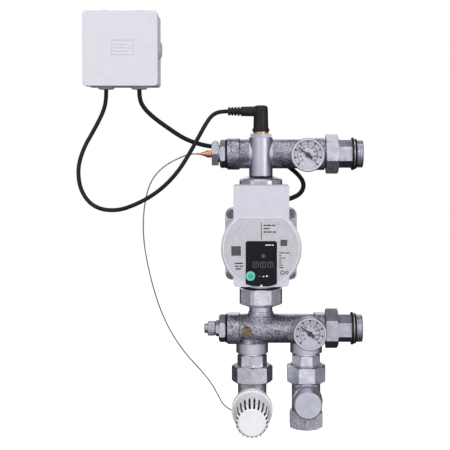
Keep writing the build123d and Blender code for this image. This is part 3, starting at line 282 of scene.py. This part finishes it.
plastics = {
    "rubber": plastic("blackRubber", (0.008, 0.008, 0.009), (0.014, 0.014, 0.014), 0.55, 0.4, shine=0.12),
    "black": plastic("blackMoulding", (0.008, 0.008, 0.009), (0.016, 0.016, 0.017), 0.36, 0.35, shine=0.2),
    "fibre": plastic("fibreGasket", (0.16, 0.13, 0.1), (0.24, 0.19, 0.15), 0.8, 0.3),
    "control": plastic("controlHousing", (0.585, 0.575, 0.65), (0.54, 0.53, 0.60), 0.42, 0.35, 0.03),
    "label": plastic("faceLabel", (0.51, 0.51, 0.545), (0.43, 0.43, 0.465), 0.38, 0.5, 0.01, mottle=5.0),
    "panel": plastic("panelGloss", (0.006, 0.006, 0.008), (0.011, 0.011, 0.013), 0.25, 0.3, 0.004, shine=0.1),
    "green": plastic("buttonGreen", (0.02, 0.40, 0.32), (0.015, 0.33, 0.27), 0.3, 0.3, 0.01),
    "paleGreen": plastic("buttonRing", (0.30, 0.74, 0.66), (0.24, 0.66, 0.58), 0.3, 0.3, 0.01),
    "board": plastic("circuitBoard", (0.02, 0.16, 0.07), (0.03, 0.22, 0.1), 0.4, 0.6),
    "ceramic": plastic("ceramicRing", (0.75, 0.73, 0.7), (0.68, 0.66, 0.62), 0.3, 0.3),
    # the last colour here is the painted shade inside the wheel's slots
    "wheel": wheelPlastic("wheelMoulding", (0.80, 0.80, 0.82), (0.75, 0.75, 0.77), (0.012, 0.012, 0.013), wheel),
    "white": plastic("whiteMoulding", (0.78, 0.78, 0.80), (0.73, 0.73, 0.75), 0.36, 0.3, 0.015),
    "dial": plastic("dialPaint", (0.52, 0.52, 0.60), (0.46, 0.46, 0.54), 0.45, 0.6, 0.005, mottle=3.0),
    "pointer": plastic("pointerPaint", (0.004, 0.004, 0.005), (0.008, 0.008, 0.008), 0.5, 0.3, 0.005,
                       shine=0.1),
    "inkRed": plastic("dialInkRed", (0.15, 0.010, 0.03), (0.11, 0.008, 0.022), 0.5, 0.3, 0.005, shine=0.1),
    "inkGrey": plastic("labelInkGrey", (0.006, 0.006, 0.007), (0.015, 0.015, 0.016), 0.5, 0.3, 0.005,
                       shine=0.1),
    "inkPale": plastic("panelInkPale", (0.15, 0.15, 0.165), (0.20, 0.20, 0.215), 0.4, 0.3, 0.005),
    "inkBlank": plastic("blankPatch", (0.02, 0.02, 0.023), (0.09, 0.09, 0.10), 0.4, 0.3, 0.005, mottle=1.2),
    "inkWhite": plastic("panelInkWhite", (0.86, 0.86, 0.88), (0.80, 0.80, 0.82), 0.4, 0.3, 0.005),
    "box": plastic("boxMoulding", (0.62, 0.62, 0.66), (0.585, 0.585, 0.63), 0.5, 0.45, 0.03),
    "entry": plastic("entryRubber", (0.45, 0.45, 0.49), (0.38, 0.38, 0.42), 0.6, 0.4),
    "cable": plastic("cableSheath", (0.006, 0.006, 0.006), (0.012, 0.012, 0.012), 0.42, 0.6, 0.03, shine=0.16),
}
finishes = {**metals, **plastics, "glass": lensGlass()}
print("finishes made")

wear = {
    "castFlow": ["flow_bar"],
    "castReturn": ["return_bar"],
    "cast": ["thermostat_valve_body", "lockshield_valve_body"],
    "turnedX": ["flow_nipple", "return_nipple", "flow_union_nut", "return_union_nut", "sensor_end_plug",
                "gland_nut", "drain_body"],
    "drain": ["drain_knob"],
    "turnedZ": ["pump_upper_nut", "pump_lower_nut", "thermostat_tail", "thermostat_union_nut",
                "lockshield_tail", "lockshield_union_nut"],
    "sensorHex": ["limiter_sensor"],
    "turnedY": ["lockshield_cap", "head_nut"],
    "copper": ["immersion_bulb"],
    "castPump": ["pump_housing"],
    "motor": ["motor_housing"],
    "steel": ["motor_screws", "rotor_can", "stator", "rotor", "valve_spindle", "valve_spring"],
    "tube": ["capillary_tube"],
    "brass": ["valve_insert", "lockshield_insert", "lockshield_spindle"],
    "bezel": ["flow_thermometer_case", "return_thermometer_case"],
    "rubber": ["sealing_rings"],
    "fibre": ["union_gaskets"],
    "black": ["elbow_plug", "impeller", "pump_cable_gland", "head_sensor"],
    "control": ["control_module"],
    "label": ["face_plate"],
    "panel": ["control_panel"],
    "green": ["green_button"],
    "board": ["circuit_board"],
    "ceramic": ["pump_bearings"],
    "white": ["scale_ring", "terminal_block"],
    "wheel": ["handwheel"],
    "dial": ["thermometer_dials"],
    "pointer": ["flow_thermometer_pointer", "return_thermometer_pointer"],
    "box": ["box_base", "box_lid"],
    "entry": ["box_cable_entries"],
    "cable": ["sensor_cable", "pump_cable"],
    "glass": ["thermometer_lenses"],
}


def dress(name, material):
    mesh = nodes[name].data
    mesh.materials.clear()
    mesh.materials.append(material)


for kind, names in wear.items():
    for name in names:
        dress(name, finishes[kind])
print("nodes dressed")


# cords
cords = {
    "sensorCable": {
        "node": "sensor_cable", "across": 5.0, "length": 373.6, "stiffness": "limp", "finish": "cable",
        "slot": "cable_black",
        "route": [(-154.0, -4.0, 50.7), (-164.0, -4.0, 50.7), (-173.5, -4.6, 46.0), (-181.2, -6.5, 34.5),
                  (-190.0, -9.0, 18.0), (-200.5, -11.0, -1.0), (-214.0, -13.0, -22.5), (-234.0, -14.0, -43.0),
                  (-259.0, -13.0, -58.5), (-287.0, -10.0, -68.5), (-314.5, -4.0, -64.5), (-331.5, 3.0, -45.5),
                  (-336.5, 10.0, -18.5), (-330.0, 15.0, 6.5), (-318.0, 19.0, 28.0), (-308.0, 22.5, 48.0),
                  (-303.2, 24.0, 63.5), (-303.2, 24.0, 78.4)]},
    "pumpCable": {
        "node": "pump_cable", "across": 5.5, "length": 306.9, "stiffness": "medium", "finish": "cable",
        "slot": "cable_black",
        "route": [(-262.8, 24.0, 78.4), (-262.8, 24.0, 66.5), (-257.2, 24.0, 55.6), (-246.5, 24.0, 45.0),
                  (-229.5, 24.5, 32.5), (-206.5, 27.0, 17.0), (-180.0, 29.5, 9.0), (-153.0, 30.5, 7.2),
                  (-127.5, 30.5, 5.2), (-103.5, 28.5, -0.8), (-84.5, 22.0, -12.8), (-70.2, 9.0, -24.0),
                  (-63.2, -7.0, -34.5), (-66.0, -21.5, -44.5), (-76.0, -34.0, -51.0), (-86.5, -43.5, -53.0)]},
    "capillaryTube": {
        "node": "capillary_tube", "across": 1.5, "length": 368.7, "stiffness": "stiff", "finish": "tube",
        "slot": "capillary_steel",
        "route": [(-191.6, 0.0, 0.0), (-200.5, 0.0, 0.0), (-212.0, 0.2, -4.5), (-226.0, 0.5, -11.5),
                  (-238.5, 0.4, -21.5), (-248.0, -0.6, -35.5), (-253.5, -3.0, -56.0), (-255.8, -7.0, -83.0),
                  (-253.7, -11.5, -110.0), (-248.3, -16.0, -136.0), (-241.0, -21.0, -163.0),
                  (-231.0, -26.0, -190.0), (-217.5, -31.0, -215.0), (-201.0, -35.5, -236.5),
                  (-185.5, -38.5, -252.0), (-172.0, -41.5, -268.0), (-163.0, -43.5, -284.5),
                  (-157.6, -44.0, -294.0), (-149.3, -44.0, -298.4)]},
}


def layCord(name, facts):
    curve = bpy.data.curves.new(name, "CURVE")
    curve.dimensions = "3D"
    curve.bevel_depth = facts["across"] / 2 * mm
    curve.bevel_resolution = 5
    curve.resolution_u = 14
    curve.use_fill_caps = True
    spline = curve.splines.new("NURBS")
    spline.points.add(len(facts["route"]) - 1)
    for point, (x, y, z) in zip(spline.points, facts["route"]):
        point.co = (x * mm, y * mm, z * mm, 1.0)
    spline.order_u = 3
    spline.use_endpoint_u = True
    piece = bpy.data.objects.new(name, curve)
    bpy.context.collection.objects.link(piece)
    curve.materials.append(finishes[facts["finish"]])
    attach(piece, "manifold")
    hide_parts(facts["node"])
    [c * mm for c in facts["route"][0]]
    facts["length"] * mm
    facts["across"] * mm


for name, facts in cords.items():
    layCord(name, facts)
print("cords laid")


# printed and applied details
def addBar(mesh, front, thick, x, z, wide, high, lean=0.0):
    turn = Matrix.Rotation(math.radians(lean), 4, "Y")
    place = Matrix.Translation((x * mm, (front + thick / 2) * mm, z * mm)) @ turn
    size = Matrix.Diagonal((wide * mm, thick * mm, high * mm, 1.0))
    bmesh.ops.create_cube(mesh, size=1.0, matrix=place @ size)


def addRing(mesh, front, thick, x, z, inner, outer, start=0.0, end=360.0):
    count = max(10, int((end - start) / 5.0))
    rows = []
    for step in range(count + 1):
        angle = math.radians(start + (end - start) * step / count)
        across, up = math.cos(angle), math.sin(angle)
        rows.append([mesh.verts.new(((x + r * across) * mm, y * mm, (z + r * up) * mm))
                     for r, y in ((inner, front), (outer, front), (outer, front + thick), (inner, front + thick))])
    for first, second in zip(rows, rows[1:]):
        for i in range(4):
            mesh.faces.new((first[i], first[(i + 1) % 4], second[(i + 1) % 4], second[i]))
    if end - start < 360.0:
        mesh.faces.new(rows[0][::-1])
        mesh.faces.new(rows[-1])


def addWord(mesh, front, thick, x, z, size, word):
    text = bpy.data.curves.new("word", "FONT")
    text.body = word
    text.size = size * mm
    text.align_x = "CENTER"
    text.align_y = "CENTER"
    text.extrude = thick / 2 * mm
    text.offset = 0.12 * mm
    holder = bpy.data.objects.new("word", text)
    bpy.context.collection.objects.link(holder)
    solid = bpy.data.meshes.new_from_object(holder)
    upright = Matrix.Rotation(math.pi / 2, 4, "X")
    solid.transform(Matrix.Translation((x * mm, (front + thick / 2) * mm, z * mm)) @ upright)
    mesh.from_mesh(solid)
    bpy.data.meshes.remove(solid)
    bpy.data.objects.remove(holder)
    bpy.data.curves.remove(text)


makers = {"bar": addBar, "ring": addRing, "word": addWord}


def printed(name, body, finish, front, thick, shapes):
    mesh = bmesh.new()
    for kind, *facts in shapes:
        makers[kind](mesh, front, thick, *facts)
    bmesh.ops.remove_doubles(mesh, verts=mesh.verts, dist=1e-7)
    bmesh.ops.recalc_face_normals(mesh, faces=mesh.faces)
    data = bpy.data.meshes.new(name)
    mesh.to_mesh(data)
    mesh.free()
    data.materials.append(finishes[finish])
    piece = bpy.data.objects.new(name, data)
    bpy.context.collection.objects.link(piece)
    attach(piece, body)


# control face, panel and button
pumpX, pumpZ = -114.8, -105.0
face = {"front": -95.67, "thick": 0.08, "radius": 42.6, "flat": 35.0, "line": 0.75}
flatAngle = math.degrees(math.asin(face["flat"] / face["radius"]))
flatHalf = math.sqrt(face["radius"] ** 2 - face["flat"] ** 2)
printed("faceRimLine", "manifold", "inkWhite", face["front"], face["thick"], [
    ("ring", pumpX, pumpZ, face["radius"] - face["line"], face["radius"] - 0.05,
     180.0 - flatAngle, 360.0 + flatAngle),
    ("bar", pumpX, pumpZ + face["flat"] - face["line"] / 2 - 0.05, 2 * flatHalf, face["line"])])
printed("faceMarks", "manifold", "inkGrey", face["front"], face["thick"], [
    ("bar", pumpX, pumpZ + 19.3, 0.7, 19.0),
    *[("bar", pumpX + x, pumpZ + z, w, 1.3) for x, z, w in (
        (3.9, 26.1, 3.0), (8.4, 26.1, 4.6), (13.4, 26.1, 4.0), (4.6, 22.5, 4.4), (8.2, 22.5, 1.8),
        (4.2, 18.7, 3.6), (9.2, 18.7, 5.0), (14.4, 18.7, 3.8),
        (-24.8, -16.2, 8.8), (-27.3, -19.4, 3.6), (-22.3, -19.4, 3.8), (-25.6, -22.4, 6.2))],
    *[("bar", pumpX + x, pumpZ + z, w, 1.0) for x, z, w in (
        (22.6, -4.6, 5.6), (28.8, -4.6, 5.0), (20.9, -7.6, 2.2), (21.3, -10.2, 3.0), (25.0, -10.2, 3.0),
        (21.0, -12.8, 2.4), (21.0, -15.6, 2.4), (21.6, -18.2, 3.6), (22.2, -20.8, 5.0))],
    *[("ring", pumpX + x, pumpZ + z, r - 0.8, r) for x, z, r in ((23.4, -26.6, 2.4), (28.4, -26.2, 1.8))]])
printed("faceBlanks", "manifold", "inkBlank", face["front"], face["thick"], [
    ("bar", pumpX - 28.0, pumpZ - 2.4, 10.6, 10.6), ("bar", pumpX + 25.0, pumpZ + 6.6, 7.6, 7.0)])

panel = {"front": -96.27, "thick": 0.08}
printed("panelIcons", "manifold", "inkPale", panel["front"], panel["thick"], [
    ("ring", pumpX + 2.3, pumpZ - 8.0, 1.3, 1.9), ("bar", pumpX + 2.3, pumpZ - 8.2, 0.7, 1.6),
    *[("bar", pumpX + x + dx, pumpZ - 17.6 + dz, w, h) for x in (-6.4, 1.9, 10.2)
      for dx, dz, w, h in ((0.0, 2.9, 6.2, 0.45), (0.0, -2.9, 6.2, 0.45), (2.9, 0.0, 0.45, 6.2),
                           (-2.9, 0.0, 0.45, 6.2), (0.0, 0.9, 2.8, 0.4), (0.0, -0.9, 2.2, 0.4))],
    ("bar", pumpX - 2.1, pumpZ - 30.6, 1.7, 0.8)])
printed("panelLights", "manifold", "inkWhite", panel["front"], panel["thick"], [
    ("bar", pumpX + 2.3, pumpZ - 30.8, 2.1, 1.0), ("bar", pumpX + 6.2, pumpZ - 30.4, 1.9, 1.6),
    ("bar", pumpX + 7.6, pumpZ + 4.2, 6.0, 1.1), ("bar", pumpX + 12.6, pumpZ + 4.2, 2.4, 1.1),
    ("ring", pumpX, pumpZ - 40.9, 0.0, 1.1)])
printed("buttonHalo", "manifold", "paleGreen", panel["front"], panel["thick"], [
    ("ring", pumpX - 12.0, pumpZ - 30.3, 4.82, 5.3)])
printed("buttonRing", "button", "paleGreen", -97.28, 0.1, [
    ("ring", pumpX - 12.0, pumpZ - 30.3, 3.4, 4.3)])

# dial scales and numbers
dials = {"flow": (-60.4, -1.0), "return": (-57.6, -210.0)}
dialFront = -38.56
for side, (x, z) in dials.items():
    angles = [math.radians(135.0 - 33.75 * i) for i in range(9)]
    spots = [(math.degrees(a), -math.sin(a), math.cos(a)) for a in angles]
    printed(side + "DialScale", "manifold", "pointer", dialFront, 0.06, [
        ("ring", x, z, 11.7, 12.2, -45.0, 225.0),
        *[("ring", x + 15.2 * s, z + 15.2 * c, 0.0, 1.2) for a, s, c in spots],
        *[("bar", x + 13.3 * s, z + 13.3 * c, 0.6, 3.4, -a) for a, s, c in spots]])
    printed(side + "DialNumbers", "manifold", "inkRed", dialFront, 0.06, [
        *[("word", x + 8.9 * s, z + 8.9 * c, 3.6, str(15 * i)) for i, (a, s, c) in enumerate(spots)],
        ("ring", x, z, 10.9, 11.3, -45.0, 60.0)])

# moulded relief on the lid, and the mark on the wheel's shoulder
printed("lidRelief", "lid", "box", -2.4, 0.5, [
    *[("bar", -280.0 + x, 127.5 + z, w, h) for x, z, w, h in (
        (0.0, 8.7, 27.0, 0.8), (0.0, -8.7, 27.0, 0.8), (13.1, 0.0, 0.8, 17.0), (-13.1, 0.0, 0.8, 17.0),
        (-3.5, 3.5, 14.0, 1.0), (-3.5, -0.5, 14.0, 1.0), (-2.0, -4.5, 17.0, 1.0), (8.6, 1.5, 4.0, 6.0))]])
printed("wheelIndex", "wheel", "inkGrey", -69.7, 1.1, [
    ("ring", wheel["x"], wheel["z"], 20.3, 20.76, start, end) for start, end in ((79.0, 88.0), (91.5, 99.0))])


# brass badge on the return bar
def turnedBadge(name, body, finish, x, z, outline):
    mesh = bmesh.new()
    count = 48
    rows = []
    for step in range(count):
        angle = 2 * math.pi * step / count
        rows.append([mesh.verts.new(((x + r * math.cos(angle)) * mm, y * mm, (z + r * math.sin(angle)) * mm))
                     for r, y in outline])
    for first, second in zip(rows, rows[1:] + rows[:1]):
        for i in range(len(outline) - 1):
            mesh.faces.new((first[i], first[i + 1], second[i + 1], second[i]))
    bmesh.ops.remove_doubles(mesh, verts=mesh.verts, dist=1e-7)
    bmesh.ops.recalc_face_normals(mesh, faces=mesh.faces)
    data = bpy.data.meshes.new(name)
    mesh.to_mesh(data)
    mesh.free()
    data.materials.append(finishes[finish])
    piece = bpy.data.objects.new(name, data)
    bpy.context.collection.objects.link(piece)
    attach(piece, body)


turnedBadge("barBadge", "manifold", "badge", -131.9, -210.4, [
    (0.0, -17.75), (4.4, -17.7), (4.8, -18.05), (5.6, -18.05), (6.0, -17.7), (6.0, -15.8), (0.0, -15.8)])
print("details printed")

# floor, light and camera
studio = {
    "floorDrop": 0.42, "floorSize": 14.0,
    "cameraAt": (-0.122, -1.249, 0.0047), "cameraTilt": 1.9, "lens": 83.33, "shift": (-0.0663, -0.09),
    "lamps": [
        ("keyLamp", (-0.9, -1.3, 0.9), 0.9, 10.0, True),
        ("fillLamp", (0.9, -1.2, 0.2), 0.7, 4.0, True),
        ("topLamp", (-0.1, -0.1, 1.5), 0.7, 3.6, True),
        ("backLamp", (-0.2, 1.4, 0.9), 1.2, 6.0, True),
        ("rightLamp", (1.5, 0.1, 0.3), 1.2, 9.0, False),
        ("leftLamp", (-1.8, 0.1, 0.3), 1.2, 4.0, False),
        ("frontLamp", (-0.2, -1.8, 0.1), 1.2, 4.0, False),
    ],
    "frontGlow": 1.12, "backGlow": 0.08, "flankGlow": 0.55, "lowGlow": 0.16, "highGlow": 0.6,
    "roomTint": (0.97, 0.97, 1.0),
}


def buildStudio(facts):
    scene = bpy.context.scene
    floorMesh = bpy.data.meshes.new("floor")
    half = facts["floorSize"] / 2
    z = cadLow.z - facts["floorDrop"]
    corners = [(-half, -half, z), (half, -half, z), (half, half, z), (-half, half, z)]
    floorMesh.from_pydata(corners, [], [(0, 1, 2, 3)])
    floor = bpy.data.objects.new("floor", floorMesh)
    bpy.context.collection.objects.link(floor)
    f = Finish("floorPaint")
    cloud = f.noise(900.0, 2.0)
    pale = f.blend(cloud, (0.93, 0.93, 0.93), (0.96, 0.96, 0.96))
    floorMesh.materials.append(f.done(Base_Color=pale, Roughness=0.9, Emission_Color=(1.0, 1.0, 1.0),
                                      Emission_Strength=0.75))
    floor.visible_glossy = False
    floor.visible_diffuse = False

    centre = (cadLow + cadHigh) / 2
    for name, place, size, power, mirrored in facts["lamps"]:
        lamp = bpy.data.lights.new(name, "AREA")
        lamp.shape = "SQUARE"
        lamp.size = size
        lamp.energy = power
        holder = bpy.data.objects.new(name, lamp)
        holder.location = place
        holder.visible_glossy = mirrored
        holder.rotation_euler = (centre - Vector(place)).to_track_quat("-Z", "Y").to_euler()
        bpy.context.collection.objects.link(holder)

    world = bpy.data.worlds.new("studio")
    room = Finish("studio", world, 0)
    x, y, z = room.axes()
    ahead = (0.0 - y).rise(-0.45, 0.35, facts["backGlow"], facts["frontGlow"])
    flank = abs(x).rise(0.2, 0.85, 1.0, facts["flankGlow"])
    height = z.rise(-0.95, -0.05, facts["lowGlow"], 1.0) * z.rise(0.3, 0.95, 1.0, facts["highGlow"])
    glow = ahead * flank * height
    seen = room.node("ShaderNodeLightPath", {}, {}, 0)
    tint = room.blend(seen, facts["roomTint"], (1.0, 1.0, 1.0))
    power = glow * (1.0 - seen) + seen
    shade = room.node("ShaderNodeBackground", {}, {0: tint, 1: power})
    room.node("ShaderNodeOutputWorld", {}, {0: shade})
    scene.world = world

    camera = bpy.data.cameras.new("camera")
    camera.lens = facts["lens"]
    camera.sensor_width = 36.0
    camera.clip_end = 60.0
    eye = bpy.data.objects.new("camera", camera)
    eye.location = facts["cameraAt"]
    eye.rotation_euler = (math.radians(90.0 - facts["cameraTilt"]), 0.0, 0.0)
    camera.shift_x, camera.shift_y = facts["shift"]
    bpy.context.collection.objects.link(eye)
    scene.camera = eye
    scene.view_settings.view_transform = "Standard"


buildStudio(studio)
print("studio ready")
